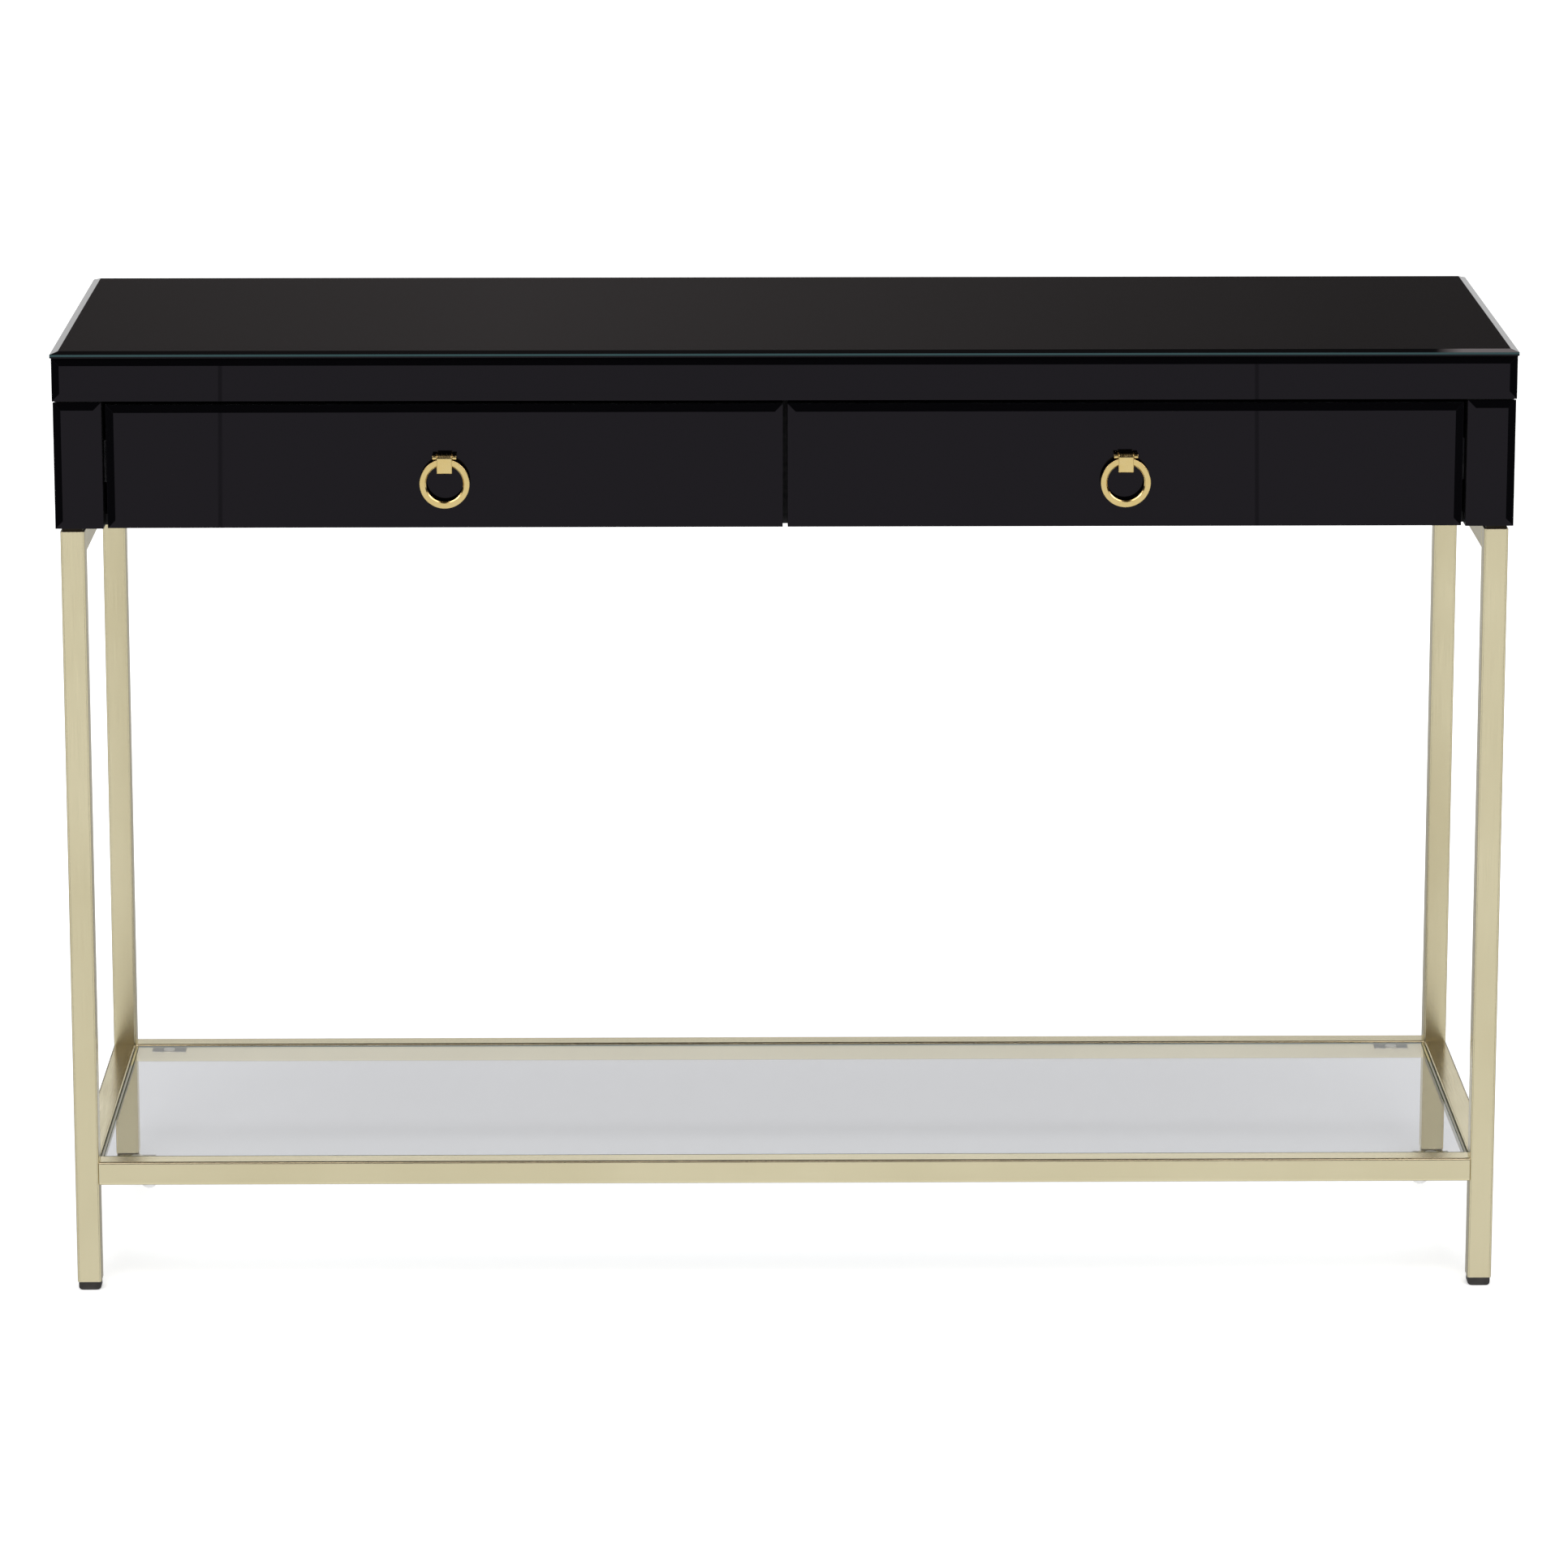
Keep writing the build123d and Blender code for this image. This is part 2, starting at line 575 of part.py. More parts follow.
    with BuildPart() as clasp:
        half = CLASP_WIDTH / 2
        depth_y = (pin_y - clasp_half_t, pin_y + clasp_half_t)
        slab((stud_x - half, stud_x + half), depth_y, (clasp_bottom_z, pin_z + CLASP_CROWN))
        crown_edges = clasp.edges().filter_by(Axis.X).group_by(Axis.Z)[-1]
        fillet(crown_edges, CLASP_CROWN_R)
        front_face = clasp.faces().sort_by(Axis.Y)[0]
        chamfer(front_face.edges().filter_by(Axis.Z) + front_face.edges().sort_by(Axis.Z)[:1], CLASP_EDGE)
        with BuildSketch(Plane((stud_x, pin_y + RING_T / 2, ring_z), z_dir=(0, -1, 0))):
            Circle(RING_OUTER_R)
            Circle(ring_inner_r, mode=Mode.SUBTRACT)
        extrude(amount=RING_T, mode=Mode.SUBTRACT)
        bore = Plane((stud_x - half, pin_y, pin_z), z_dir=(1, 0, 0))
        round_hole(bore, PIN_R + PIN_PLAY, CLASP_WIDTH)
    save(clasp, f"pull_{side}_clasp")
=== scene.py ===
import json
import math

import bpy
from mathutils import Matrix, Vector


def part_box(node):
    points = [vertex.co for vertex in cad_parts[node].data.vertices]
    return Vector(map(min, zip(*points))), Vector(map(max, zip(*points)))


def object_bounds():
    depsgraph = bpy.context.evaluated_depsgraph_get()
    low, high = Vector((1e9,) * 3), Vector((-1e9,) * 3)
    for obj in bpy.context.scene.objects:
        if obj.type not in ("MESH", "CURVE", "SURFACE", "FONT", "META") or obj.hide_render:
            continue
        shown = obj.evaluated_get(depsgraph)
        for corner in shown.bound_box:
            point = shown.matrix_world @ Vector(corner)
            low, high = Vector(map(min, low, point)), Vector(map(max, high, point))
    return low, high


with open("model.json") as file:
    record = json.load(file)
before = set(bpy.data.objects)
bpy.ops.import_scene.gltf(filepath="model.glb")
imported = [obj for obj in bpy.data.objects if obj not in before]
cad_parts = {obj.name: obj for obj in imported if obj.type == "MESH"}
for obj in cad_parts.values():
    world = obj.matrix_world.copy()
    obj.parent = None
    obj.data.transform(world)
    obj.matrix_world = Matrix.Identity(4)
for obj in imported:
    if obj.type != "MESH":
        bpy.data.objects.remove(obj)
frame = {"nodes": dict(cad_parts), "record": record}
cad_low, cad_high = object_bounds()

# Looks of a two-drawer console table: bevelled black glass over a champagne metal frame, with a
# clear glass shelf and brass ring pulls. Metres, +Z up, -Y the front.

# ------------------------------------------------------------------ camera and studio
# A long lens, a little left of the middle and above the top, looking down at the table
CAMERA_LEFT = 0.059
CAMERA_BEFORE_FRONT = 5.312
CAMERA_ABOVE_TOP = 0.886
CAMERA_PITCH = math.radians(12.17)
CAMERA_TURN = math.radians(0.625)
SENSOR_MM = 36.0
LENS_MM = 151.4
CAMERA_SHIFT_UP = -0.0776

# White paper floor and white room light
FLOOR_HALF = 40.0
PAPER = 0.9
PAPER_FIBRE = 0.985             # how much of its white the paper keeps in its darker fibres
PAPER_GLOW = 0.3
BACKDROP = 1.05
ROOM_LIGHT = 0.9
# Painted shade: the floor and white room seen through the shelf glass are darkened by this, standing in
# for the table's shadow behind it
SHADE_THROUGH_GLASS = 0.65            # what a white of 1 becomes when seen through the shelf glass
KEY_LIGHT = 1.2
KEY_ABOVE = math.radians(58.0)
KEY_SPREAD = math.radians(32.0)

# A white card behind the table, seen in the shelf and in the tops of its rails, missed by the top
CARD_BEHIND = 1.3
CARD_HALF_WIDTH = 2.4
CARD_LOW, CARD_HIGH = 0.45, 0.95
CARD_GLOW = 1.0

# What reflections see beyond that, by the direction they leave in (parts of a unit vector).
# Across is to the right, back is away from the camera. A soft is the width of a fading border.
FLOOR_GLOW_BY_DROP = (
    (0.0, 0.0), (0.015, 0.3), (0.05, 0.85), (0.21, 0.98), (0.25, 0.92), (0.3, 0.74), (0.53, 0.95),
)
HORIZON_LIFT = 0.03             # drops are counted from this far above the horizon
FLOOR_BEHIND = 0.5              # how much of that glow is left behind the table
FRONT_SOFT = 0.05

# The bright sweep in front has a dark gap on each side, and two thin dark stands before it
SWEEP_HALF = 0.41
SWEEP_GAP_END = 0.53
SWEEP_GAP_SOFT = 0.02
SWEEP_GAP_GLOW = 0.08           # how much of the glow is left in a gap
STAND_LEFT, STAND_RIGHT = -0.0745, 0.0822
STAND_HALF = 0.0002
STAND_SHADE = 0.35              # how much of the glow a stand takes away

# Dark room above, with a dim warm wall behind, brightest a little left of the middle
DARK_ROOM = 0.05
WALL_GLOW = 0.038
WALL_MIDDLE = -0.03
WALL_HALF = 0.13
WALL_TINT = (1.0, 0.91, 0.9, 1.0)

# Light boxes in that room: one each side, one behind on the right, and two overhead in front,
# left and right of a gap that the pulls look into
SIDE_BOX_GLOW = 1.3
SIDE_BOX_ASIDE = (0.62, 1.0)
SIDE_BOX_UP = (0.33, 0.68)
SIDE_BOX_SOFT = 0.04
SIDE_BOX_FADES = (0.2, 0.3)     # towards the back
BACK_BOX_GLOW = 2.2
BACK_BOX_ACROSS = (0.113, 0.6)
BACK_BOX_ACROSS_SOFT = 0.004
BACK_BOX_UP = (0.66, 0.82)
BACK_BOX_UP_SOFT = 0.02
FRONT_BOX_GLOW = 2.6
FRONT_BOX_UP = (0.5, 0.9)
FRONT_BOX_SOFT = 0.05
FRONT_GAP = (-0.11, 0.13)
FRONT_GAP_SOFT = 0.02


def linear(red, green, blue):
    """Scene-linear colour of an sRGB colour given in 0 to 255."""
    def channel(value):
        value /= 255.0
        return value / 12.92 if value <= 0.04045 else ((value + 0.055) / 1.055) ** 2.4
    return (channel(red), channel(green), channel(blue), 1.0)


def grey(level):
    return (level, level, level, 1.0)


# ------------------------------------------------------------------ node helpers
BEVEL_SAMPLES = 6
LIMIT_SOFT = 0.05

# Cosine between a face's normal and its rounded one: below the first at an edge, above the
# second on an open face
EDGE_COSINE = 0.8
OPEN_FACE_COSINE = 0.995


class Nodes:
    """A node tree, and the small patterns that its maker builds from."""

    def __init__(self, tree):
        self.tree = tree

    def node(self, kind, **settings):
        made = self.tree.nodes.new(kind)
        for key, value in settings.items():
            setattr(made, key, value)
        return made

    def feed(self, socket, value):
        """Link a node's output to a socket, or set the socket to a plain value."""
        if isinstance(value, bpy.types.NodeSocket):
            self.tree.links.new(value, socket)
        else:
            socket.default_value = value

    def remap(self, value, low, high, to_low, to_high):
        """value from low..high to to_low..to_high, held at the ends."""
        mapped = self.node("ShaderNodeMapRange")
        self.feed(mapped.inputs["Value"], value)
        ends = {"From Min": low, "From Max": high, "To Min": to_low, "To Max": to_high}
        for key, number in ends.items():
            mapped.inputs[key].default_value = number
        return mapped.outputs["Result"]

    def math(self, operation, first, second=0.0):
        made = self.node("ShaderNodeMath", operation=operation)
        self.feed(made.inputs[0], first)
        self.feed(made.inputs[1], second)
        return made.outputs["Value"]

    def product(self, *values):
        total = values[0]
        for value in values[1:]:
            total = self.math("MULTIPLY", total, value)
        return total

    def within(self, value, low, high, soft):
        """1 between low and high, falling to 0 over soft outside them."""
        rises = self.remap(value, low - soft, low, 0.0, 1.0)
        falls = self.remap(value, high, high + soft, 1.0, 0.0)
        return self.math("MULTIPLY", rises, falls)

    def blend(self, factor, first, second):
        """Colour between first and second."""
        made = self.node("ShaderNodeMix", data_type="RGBA")
        colours = [socket for socket in made.inputs if socket.type == "RGBA"]
        self.feed(made.inputs["Factor"], factor)
        self.feed(colours[0], first)
        self.feed(colours[1], second)
        return next(socket for socket in made.outputs if socket.type == "RGBA")

    def axes(self, vector):
        split = self.node("ShaderNodeSeparateXYZ")
        self.feed(split.inputs["Vector"], vector)
        return [split.outputs[axis] for axis in "XYZ"]


class Surface(Nodes):
    """A Principled material, with the patterns that the table's surfaces share."""

    def __init__(self, name):
        self.material = bpy.data.materials.new(name)
        self.material.use_nodes = True
        super().__init__(self.material.node_tree)
        self.shader = self.tree.nodes["Principled BSDF"]
        self.place = self.node("ShaderNodeTexCoord").outputs["Object"]
        self.normal = self.node("ShaderNodeNewGeometry").outputs["True Normal"]

    def set(self, **values):
        """Set the shader's own sockets, written with underscores for spaces."""
        for key, value in values.items():
            self.feed(self.shader.inputs[key.replace("_", " ")], value)

    def noise(self, scale, detail=4.0, stretch=(1.0, 1.0, 1.0), offset=0.0):
        """Noise in the object's own metres; a small stretch draws it out along that axis."""
        mapping = self.node("ShaderNodeMapping")
        self.feed(mapping.inputs["Vector"], self.place)
        mapping.inputs["Scale"].default_value = stretch
        mapping.inputs["Location"].default_value = (offset, offset, offset)
        texture = self.node("ShaderNodeTexNoise")
        self.feed(texture.inputs["Vector"], mapping.outputs["Vector"])
        texture.inputs["Scale"].default_value = scale
        texture.inputs["Detail"].default_value = detail
        return texture.outputs["Fac"]

    def turned_from(self, axis, limit):
        """1 where the surface turns away from one axis, past limit (a cosine), else 0."""
        facing = self.math("ABSOLUTE", self.axes(self.normal)[axis])
        return self.remap(facing, limit - LIMIT_SOFT, limit + LIMIT_SOFT, 1.0, 0.0)

    def rounded_normal(self, radius):
        rounded = self.node("ShaderNodeBevel", samples=BEVEL_SAMPLES)
        rounded.inputs["Radius"].default_value = radius
        return rounded.outputs["Normal"]

    def edges(self, radius):
        """1 within about radius of a sharp edge, 0 on open faces."""
        dot = self.node("ShaderNodeVectorMath", operation="DOT_PRODUCT")
        self.feed(dot.inputs[0], self.rounded_normal(radius))
        self.feed(dot.inputs[1], self.normal)
        return self.remap(dot.outputs["Value"], EDGE_COSINE, OPEN_FACE_COSINE, 1.0, 0.0)

    def soften(self, radius, height, strength, distance):
        """Round the shading of edges, and lay a bump on top."""
        bump = self.node("ShaderNodeBump")
        bump.inputs["Strength"].default_value = strength
        bump.inputs["Distance"].default_value = distance
        self.feed(bump.inputs["Height"], height)
        self.feed(bump.inputs["Normal"], self.rounded_normal(radius))
        self.set(Normal=bump.outputs["Normal"])


# ------------------------------------------------------------------ materials
# Parts of a noise's range that a pattern uses: the rest is held at its ends
EVEN = (0.3, 0.7)
PATCHY = (0.35, 0.7)
MOTTLED = (0.35, 0.65)
BRUSHED = (0.3, 0.75)
SMUDGED = (0.45, 0.75)
HAZED = (0.4, 0.7)
SPECKS = (0.74, 0.8)

PAINTED_BACK = linear(3, 3, 4)
DUST = linear(20, 20, 22)
LAPPED_PAINT = linear(5, 6, 6)
LAP_SOFT = 0.0004
GLASS_TINT = (0.9, 0.915, 0.955, 1.0)
GLASS_GREEN = linear(34, 56, 26)
GLASS_SHADOW = (0.93, 0.94, 0.95, 1.0)
CHAMPAGNE_DARK = linear(219, 209, 173)
CHAMPAGNE_LIGHT = linear(231, 222, 188)
CHAMPAGNE_MARK = linear(186, 172, 130)
# Painted highlight: near-white cream for the bright line along the frame's edges
CHAMPAGNE_EDGE_HIGHLIGHT = linear(250, 245, 226)


def black_glass(name, outward, edge_colour, edge_paint_z=None):
    """Polished glass, black on its back, with the glass's own colour on its ground edges."""
    glass = Surface(name)
    is_edge = glass.turned_from(outward, 0.5)
    smudge = glass.noise(7.0, detail=7.0)
    dust = glass.remap(glass.noise(1400.0, detail=2.0), *SPECKS, 0.0, 1.0)
    face = glass.blend(dust, PAINTED_BACK, DUST)
    if edge_paint_z is not None:
        height = glass.axes(glass.place)[2]
        above_paint = glass.remap(height, edge_paint_z, edge_paint_z + LAP_SOFT, 0.0, 1.0)
        edge_colour = glass.blend(above_paint, LAPPED_PAINT, edge_colour)
    glass.set(Base_Color=glass.blend(is_edge, face, edge_colour))
    face_roughness = glass.remap(smudge, *SMUDGED, 0.0, 0.03)
    edge_roughness = glass.math("MULTIPLY", is_edge, 0.3)
    glass.set(Roughness=glass.math("MAXIMUM", face_roughness, edge_roughness))
    glass.set(Specular_IOR_Level=0.18, Specular_Tint=(0.93, 0.84, 1.0, 1.0))
    glass.soften(0.0003, glass.noise(2.2, detail=1.0), strength=0.02, distance=0.002)
    return glass.material


def clear_glass(name):
    """Float glass: nearly clear through its faces, dark green on its edges. Lets light pass."""
    glass = Surface(name)
    is_edge = glass.turned_from(2, 0.8)
    glass.set(Base_Color=glass.blend(is_edge, GLASS_TINT, GLASS_GREEN))
    face_roughness = glass.remap(glass.noise(9.0, detail=6.0), *HAZED, 0.0, 0.02)
    edge_roughness = glass.math("MULTIPLY", is_edge, 0.25)
    glass.set(Roughness=glass.math("MAXIMUM", edge_roughness, face_roughness))
    glass.set(Transmission_Weight=glass.math("SUBTRACT", 1.0, is_edge))
    glass.set(IOR=1.45, Specular_IOR_Level=glass.remap(is_edge, 0.0, 1.0, 0.5, 0.05))

    path = glass.node("ShaderNodeLightPath")
    clear = glass.node("ShaderNodeBsdfTransparent")
    clear.inputs["Color"].default_value = GLASS_SHADOW
    either = glass.node("ShaderNodeMixShader")
    lets_light_by = glass.math("MAXIMUM", path.outputs["Is Shadow Ray"], path.outputs["Is Diffuse Ray"])
    glass.feed(either.inputs["Fac"], lets_light_by)
    glass.feed(either.inputs[1], glass.shader.outputs["BSDF"])
    glass.feed(either.inputs[2], clear.outputs["BSDF"])
    output = glass.tree.nodes["Material Output"]
    glass.feed(output.inputs["Surface"], either.outputs["Shader"])
    return glass.material


def champagne(name, along):
    """Satin champagne gold over steel, its fine brush marks running along one axis."""
    metal = Surface(name)
    stretch = [1.0, 1.0, 1.0]
    stretch[along] = 0.012
    brush = metal.noise(1500.0, detail=3.0, stretch=stretch)
    cloud = metal.noise(5.0, detail=3.0, offset=3.0)
    marks = metal.remap(brush, *BRUSHED, 0.0, 0.08)
    # Painted highlight: the edges turn near-white cream, a bright line where the tubes' rounded corners
    # would catch the light
    edge_highlight = metal.math("MULTIPLY", metal.edges(0.0008), 0.5)
    tone = metal.blend(metal.remap(cloud, *EVEN, 0.0, 1.0), CHAMPAGNE_DARK, CHAMPAGNE_LIGHT)
    tone = metal.blend(marks, tone, CHAMPAGNE_MARK)
    tone = metal.blend(edge_highlight, tone, CHAMPAGNE_EDGE_HIGHLIGHT)
    metal.set(Base_Color=tone, Metallic=1.0)
    metal.set(Roughness=metal.remap(brush, *EVEN, 0.2, 0.27))
    metal.soften(0.0006, brush, strength=0.012, distance=0.0002)
    return metal.material


def polished_metal(name, colour, light, edge, roughness, bump):
    """Polished metal with fine random scratches, and another colour along the edges: on the brass,
    painted shade (dark outlines); on the dark steel, lighter edges.
    """
    metal = Surface(name)
    scratch = metal.noise(2600.0, detail=2.0, stretch=(1.0, 0.2, 1.0))
    haze = metal.noise(160.0, detail=4.0, offset=5.0)
    tone = metal.blend(metal.remap(haze, *PATCHY, 0.0, 0.35), colour, light)
    # On the brass this is painted shade: edges darkened toward brown, for the dark room that polished
    # rounded edges would reflect
    tone = metal.blend(metal.math("MULTIPLY", metal.edges(0.0006), 0.7), tone, edge)
    metal.set(Base_Color=tone, Metallic=1.0)
    metal.set(Roughness=metal.remap(haze, *EVEN, roughness, roughness * 1.8))
    metal.soften(0.0005, scratch, strength=bump, distance=0.0001)
    return metal.material


def plated_sheet(name, dark, light):
    """Cold-rolled steel strip under a mottled plate."""
    metal = Surface(name)
    mottle = metal.noise(60.0, detail=6.0)
    rolled = metal.noise(700.0, detail=2.0, stretch=(1.0, 0.02, 1.0))
    tone = metal.blend(metal.remap(mottle, *MOTTLED, 0.0, 1.0), dark, light)
    metal.set(Base_Color=tone, Metallic=1.0, Roughness=metal.remap(rolled, *EVEN, 0.3, 0.48))
    metal.soften(0.0002, rolled, strength=0.05, distance=0.0002)
    return metal.material


def moulded_plastic(name, dark, light, roughness):
    """Moulded plastic with a fine spark-eroded texture."""
    plastic = Surface(name)
    grain = plastic.noise(3000.0, detail=3.0)
    stain = plastic.noise(90.0, detail=4.0)
    plastic.set(Base_Color=plastic.blend(plastic.remap(stain, *PATCHY, 0.0, 1.0), dark, light))
    plastic.set(Roughness=plastic.remap(grain, *EVEN, roughness - 0.08, roughness + 0.1))
    plastic.soften(0.0003, grain, strength=0.15, distance=0.0002)
    return plastic.material


def painted_board(name, dark, light, along, grain_depth):
    """Fibreboard under paint or foil, with a grain that runs along one axis."""
    board = Surface(name)
    stretch = [1.0, 1.0, 1.0]
    stretch[along] = 0.05
    grain = board.noise(260.0, detail=8.0, stretch=stretch)
    fibre = board.noise(1500.0, detail=3.0)
    board.set(Base_Color=board.blend(board.remap(grain, *PATCHY, 0.0, 1.0), dark, light))
    board.set(Roughness=board.remap(fibre, *EVEN, 0.5, 0.72), Specular_IOR_Level=0.3)
    board.soften(0.0005, board.math("ADD", grain, fibre), strength=grain_depth, distance=0.0004)
    return board.material


# ------------------------------------------------------------------ which material each piece takes
TOP_EDGE = linear(40, 64, 65)
PANEL_EDGE = linear(16, 20, 21)
TOP_EDGE_PAINT = 0.0011         # black paint laps this far up the top glass's edge
BOARDS = {
    "black_board": dict(dark=linear(24, 24, 26), light=linear(38, 38, 40), grain_depth=0.08),
    "drawer_board": dict(dark=linear(38, 37, 39), light=linear(58, 56, 57), grain_depth=0.2),
}
PLAIN = {
    "clear_glass": (clear_glass, {}),
    # The brass's dark edge colour is painted shade, outlines standing in for reflections of the dark
    # room
    "polished_brass": (polished_metal, dict(
        colour=linear(216, 192, 129), light=linear(236, 217, 162), edge=linear(120, 90, 44),
        roughness=0.1, bump=0.02)),
    "dark_steel": (polished_metal, dict(
        colour=linear(52, 47, 40), light=linear(84, 76, 62), edge=linear(96, 88, 74),
        roughness=0.42, bump=0.1)),
    "zinc_steel": (plated_sheet, dict(dark=linear(172, 176, 184), light=linear(205, 204, 196))),
    "black_zinc_steel": (plated_sheet, dict(dark=linear(58, 58, 61), light=linear(84, 84, 86))),
    "black_plastic": (moulded_plastic, dict(
        dark=linear(30, 28, 26), light=linear(46, 43, 41), roughness=0.5)),
    "grey_plastic": (moulded_plastic, dict(
        dark=linear(205, 205, 206), light=linear(222, 222, 222), roughness=0.45)),
    "clear_rubber": (moulded_plastic, dict(
        dark=linear(158, 154, 140), light=linear(174, 169, 154), roughness=0.4)),
}


def thin_and_long_axes(node):
    """The axes in which a node's box is smallest and largest."""
    low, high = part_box(node)
    order = sorted(range(3), key=lambda axis: high[axis] - low[axis])
    return order[0], order[2]


def make_material(name, slot, node):
    """Material for a node: by its slot, with the grain along it and glass edges round it."""
    thin, long = thin_and_long_axes(node)
    if node == "top_glass":
        return black_glass(name, thin, TOP_EDGE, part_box(node)[0].z + TOP_EDGE_PAINT)
    if slot == "black_glass":
        return black_glass(name, thin, PANEL_EDGE)
    if slot == "champagne_metal":
        return champagne(name, long)
    if slot in BOARDS:
        return painted_board(name, along=long, **BOARDS[slot])
    make, settings = PLAIN[slot]
    return make(name, **settings)


def material_name(slot, node):
    """One material for all nodes that would get the same one."""
    thin, long = thin_and_long_axes(node)
    if node == "top_glass":
        return "black_glass_top"
    if slot == "black_glass":
        return f"{slot}_{'xyz'[thin]}"
    if slot in BOARDS or slot == "champagne_metal":
        return f"{slot}_{'xyz'[long]}"
    return slot


finishes = {}
for part in frame["record"]["subparts"]:
    node, slot = part["node"], part["material_slot"]
    name = material_name(slot, node)
    if name not in finishes:
        finishes[name] = make_material(name, slot, node)
    slots = frame["nodes"][node].data.materials
    slots.clear()
    slots.append(finishes[name])


# ------------------------------------------------------------------ studio
def build_world():
    """White room to look at and be lit by; in reflections, a bright sweep under a dark room.

    A reflection takes tint times above, plus below, and tint is black below the horizon.
    """
    world = bpy.data.worlds.new("studio")
    bpy.context.scene.world = world
    world.use_nodes = True
    world.cycles.sampling_method = "NONE"
    sky = Nodes(world.node_tree)
    across, back, up = sky.axes(sky.node("ShaderNodeTexCoord").outputs["Generated"])
    aside = sky.math("ABSOLUTE", across)
    in_front = sky.remap(back, -FRONT_SOFT, FRONT_SOFT, 1.0, 0.0)
    behind = sky.math("SUBTRACT", 1.0, in_front)

    ramp = sky.node("ShaderNodeValToRGB")
    points = ramp.color_ramp.elements
    while len(points) < len(FLOOR_GLOW_BY_DROP):
        points.new(position=0.5)
    for point, (drop, glow) in zip(points, FLOOR_GLOW_BY_DROP):
        point.position = drop
        point.color = grey(glow)
    sky.feed(ramp.inputs["Fac"], sky.math("SUBTRACT", HORIZON_LIFT, up))
    in_gap = sky.product(sky.within(aside, SWEEP_HALF, SWEEP_GAP_END, SWEEP_GAP_SOFT), in_front)
    on_stand = sky.product(in_front, sky.math("ADD", *(
        sky.within(across, middle - STAND_HALF, middle + STAND_HALF, STAND_HALF)
        for middle in (STAND_LEFT, STAND_RIGHT))))
    below = sky.product(sky.axes(ramp.outputs["Color"])[0],
                        sky.remap(in_gap, 0.0, 1.0, 1.0, SWEEP_GAP_GLOW),
                        sky.remap(on_stand, 0.0, 1.0, 1.0, 1.0 - STAND_SHADE),
                        sky.remap(behind, 0.0, 1.0, 1.0, FLOOR_BEHIND))

    from_wall_middle = sky.math("ABSOLUTE", sky.math("SUBTRACT", across, WALL_MIDDLE))
    wall = sky.product(sky.remap(from_wall_middle, 0.0, WALL_HALF, WALL_GLOW, 0.0), behind)
    side_boxes = sky.product(sky.within(aside, *SIDE_BOX_ASIDE, SIDE_BOX_SOFT),
                             sky.within(up, *SIDE_BOX_UP, SIDE_BOX_SOFT),
                             sky.remap(back, *SIDE_BOX_FADES, SIDE_BOX_GLOW, 0.0))
    back_box = sky.product(sky.within(across, *BACK_BOX_ACROSS, BACK_BOX_ACROSS_SOFT),
                           sky.within(up, *BACK_BOX_UP, BACK_BOX_UP_SOFT), behind, BACK_BOX_GLOW)
    front_gap = sky.within(across, *FRONT_GAP, FRONT_GAP_SOFT)
    front_boxes = sky.product(sky.within(up, *FRONT_BOX_UP, FRONT_BOX_SOFT), in_front,
                              sky.remap(front_gap, 0.0, 1.0, FRONT_BOX_GLOW, 0.0))
    boxes = sky.math("ADD", sky.math("ADD", side_boxes, back_box), front_boxes)
    above = sky.math("ADD", sky.math("ADD", wall, DARK_ROOM), boxes)
    is_above = sky.math("GREATER_THAN", up, 0.0)
    tint = sky.blend(is_above, grey(0.0), WALL_TINT)
    room = sky.node("ShaderNodeVectorMath", operation="MULTIPLY_ADD")
    for socket, value in zip(room.inputs, (tint, above, below)):
        sky.feed(socket, value)

    path = sky.node("ShaderNodeLightPath")
    plain = sky.blend(path.outputs["Is Diffuse Ray"], grey(BACKDROP), grey(ROOM_LIGHT))
    # Painted shade: the white room is darker when seen through the shelf glass
    plain = sky.blend(path.outputs["Is Transmission Ray"], plain, grey(SHADE_THROUGH_GLASS))
    seen = sky.blend(path.outputs["Is Glossy Ray"], plain, room.outputs["Vector"])
    sky.feed(sky.tree.nodes["Background"].inputs["Color"], seen)


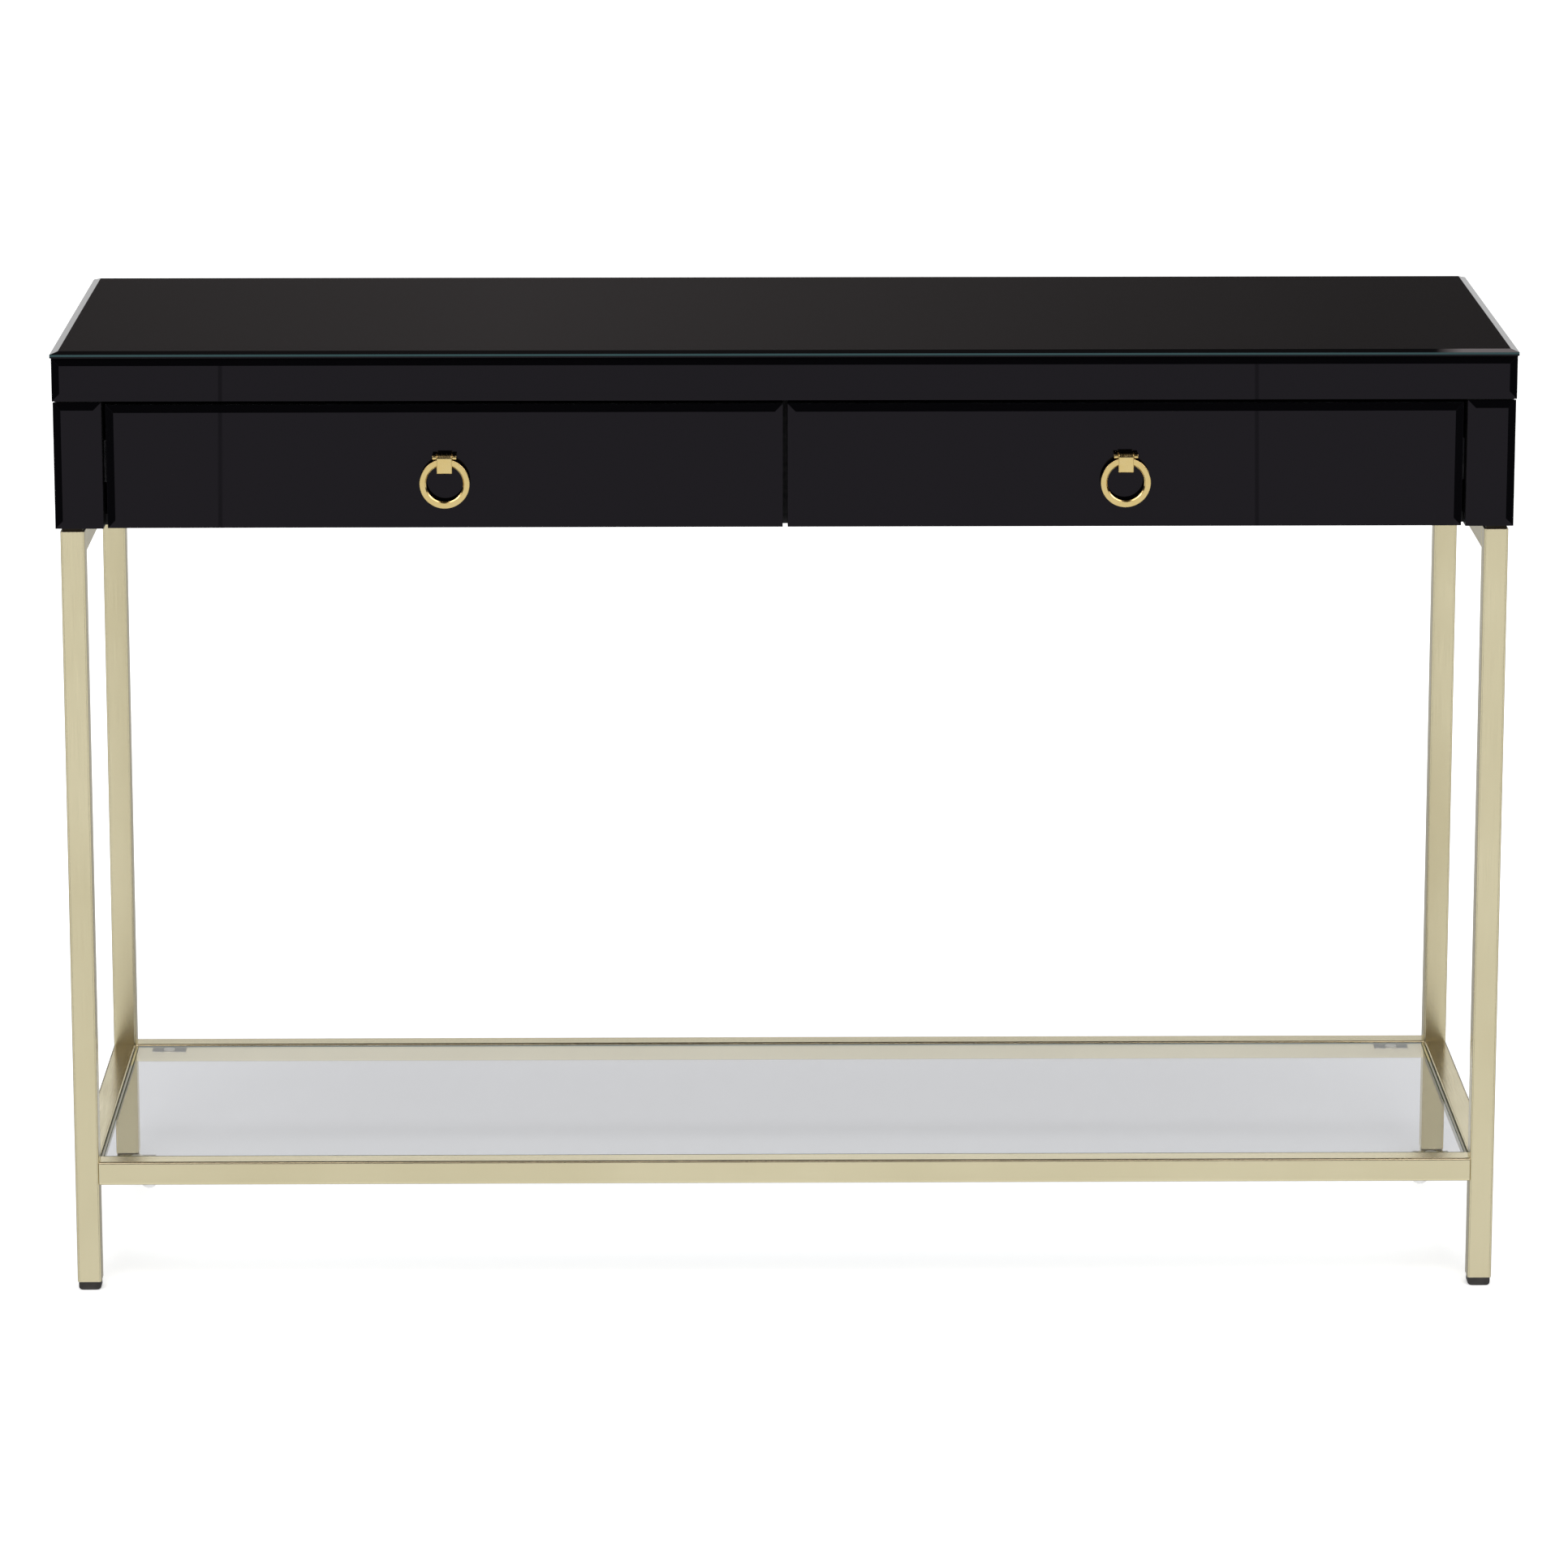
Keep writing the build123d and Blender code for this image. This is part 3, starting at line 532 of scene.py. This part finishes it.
def build_floor():
    bpy.ops.mesh.primitive_plane_add(size=2 * FLOOR_HALF, location=(0.0, 0.0, cad_low.z))
    floor = bpy.context.object
    floor.name = "studio_floor"
    paper = Surface("studio_paper")
    fibre = paper.noise(220.0, detail=5.0)
    # Painted shadow: the paper darkens where it is seen through the shelf glass, standing in for the
    # table's shadow on it
    through = paper.node("ShaderNodeLightPath").outputs["Is Transmission Ray"]
    white = paper.blend(fibre, grey(PAPER), grey(PAPER * PAPER_FIBRE))
    paper.set(Base_Color=paper.blend(through, white, grey(PAPER * SHADE_THROUGH_GLASS)))
    paper.set(Roughness=0.9, Specular_IOR_Level=0.0)
    paper.set(Emission_Color=grey(1.0))
    paper.set(Emission_Strength=paper.remap(through, 0.0, 1.0, PAPER_GLOW, PAPER_GLOW * SHADE_THROUGH_GLASS))
    paper.material.cycles.emission_sampling = "NONE"
    floor.data.materials.append(paper.material)
    floor.visible_glossy = False


def build_card():
    """White card standing behind the table, for reflections only."""
    middle = (0.0, cad_high.y + CARD_BEHIND, cad_low.z + (CARD_LOW + CARD_HIGH) / 2)
    bpy.ops.mesh.primitive_plane_add(size=1.0, location=middle, rotation=(math.pi / 2, 0.0, 0.0))
    card = bpy.context.object
    card.name = "studio_card"
    card.scale = (2 * CARD_HALF_WIDTH, CARD_HIGH - CARD_LOW, 1.0)
    white = Surface("studio_card")
    white.set(Base_Color=grey(0.0), Specular_IOR_Level=0.0)
    white.set(Emission_Color=grey(1.0), Emission_Strength=CARD_GLOW)
    card.data.materials.append(white.material)
    card.visible_camera = False
    card.visible_diffuse = False
    card.visible_transmission = False
    card.visible_shadow = False


def build_key_light():
    """Wide soft light from the front and above: a faint shadow under and behind the table."""
    light = bpy.data.lights.new("soft_key", "SUN")
    light.energy = KEY_LIGHT
    light.angle = KEY_SPREAD
    lamp = bpy.data.objects.new("soft_key", light)
    bpy.context.scene.collection.objects.link(lamp)
    lamp.rotation_euler = (math.pi / 2 - KEY_ABOVE, 0.0, 0.0)
    lamp.visible_glossy = False


def build_camera():
    data = bpy.data.cameras.new("camera")
    data.sensor_width = SENSOR_MM
    data.lens = LENS_MM
    data.shift_y = CAMERA_SHIFT_UP
    camera = bpy.data.objects.new("camera", data)
    bpy.context.scene.collection.objects.link(camera)
    top_low, top_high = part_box("top_glass")
    camera.location = (-CAMERA_LEFT, top_low.y - CAMERA_BEFORE_FRONT, top_high.z + CAMERA_ABOVE_TOP)
    camera.rotation_euler = (math.pi / 2 - CAMERA_PITCH, 0.0, -CAMERA_TURN)
    bpy.context.scene.camera = camera


build_world()
build_floor()
build_card()
build_key_light()
build_camera()
bpy.context.scene.view_settings.view_transform = "Standard"
